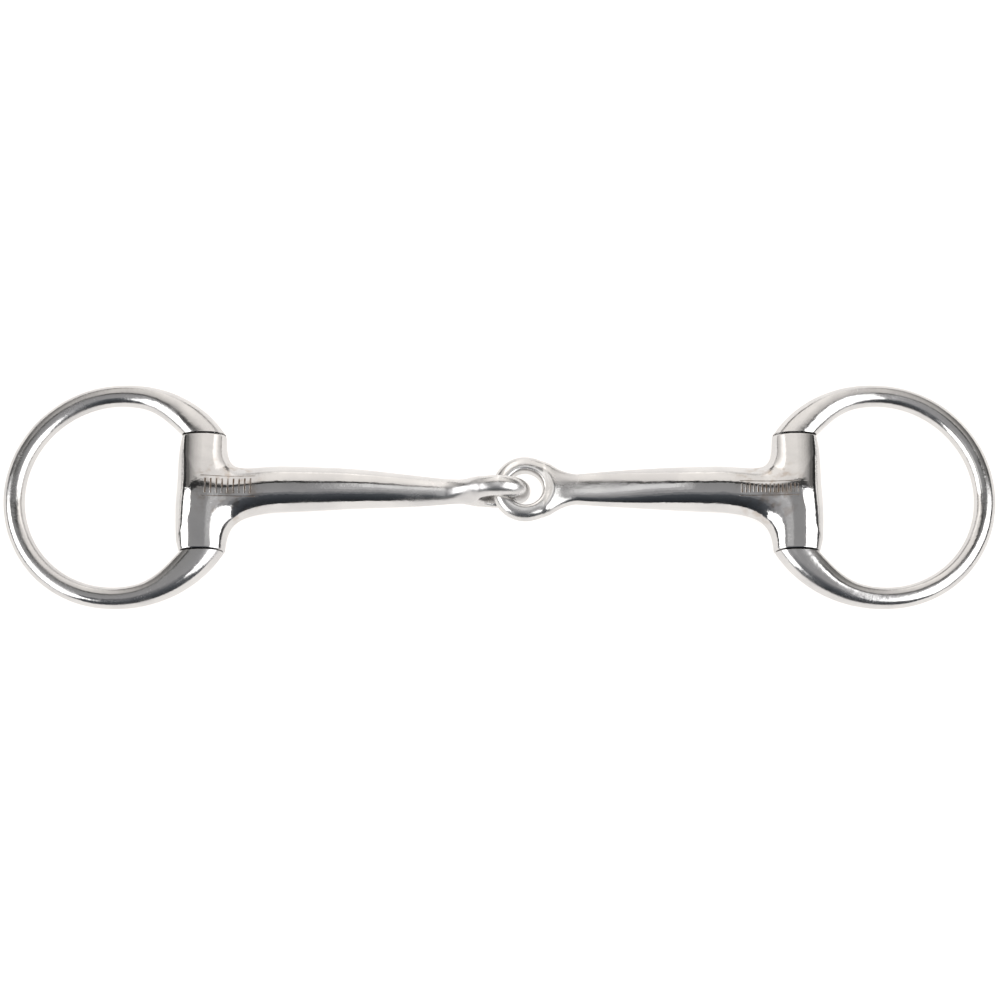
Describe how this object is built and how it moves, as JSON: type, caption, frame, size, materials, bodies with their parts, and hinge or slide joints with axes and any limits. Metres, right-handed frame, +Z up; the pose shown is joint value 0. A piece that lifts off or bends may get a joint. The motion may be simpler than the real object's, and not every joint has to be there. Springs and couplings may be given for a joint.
{
  "type": "snaffle bit",
  "caption": "Eggbutt snaffle bit: jointed steel mouthpiece with linked eyes, barrels at its ends and pinned egg-shouldered cheek rings.",
  "frame": {"origin": "on the surface the bit lies on, under the middle of its bounding box", "axes": "+X along the mouthpiece towards the right cheek ring, +Y along the barrels and hinge pins, +Z up"},
  "size_m": [0.248, 0.0576, 0.0164],
  "materials": {
    "mouthpiece_steel": "polished stainless steel casting with fine rub marks",
    "ring_steel": "polished stainless steel with fine rub marks",
    "pin_steel": "turned stainless steel pin, hidden in the barrel"
  },
  "bodies": {
    "right_mouthpiece": {"right_mouthpiece_arm": "mouthpiece_steel"},
    "left_mouthpiece": {"left_mouthpiece_arm": "mouthpiece_steel"},
    "right_cheek": {"right_cheek_ring": "ring_steel", "right_hinge_pin": "pin_steel"},
    "left_cheek": {"left_cheek_ring": "ring_steel", "left_hinge_pin": "pin_steel"}
  },
  "joints": [
    {"name": "centre_fold", "type": "hinge", "parent": "right_mouthpiece", "child": "left_mouthpiece", "pos_m": [0.00015, 0, 0.00824], "axis": [0, 1, 0], "range_deg": [-90, 90]},
    {"name": "right_ring_swing", "type": "hinge", "parent": "right_mouthpiece", "child": "right_cheek", "pos_m": [0.0737, 0, 0.0065], "axis": [0, 1, 0], "range_deg": [-150, 150]},
    {"name": "left_ring_swing", "type": "hinge", "parent": "left_mouthpiece", "child": "left_cheek", "pos_m": [-0.0737, 0, 0.0065], "axis": [0, 1, 0], "range_deg": [-150, 150]}
  ]
}
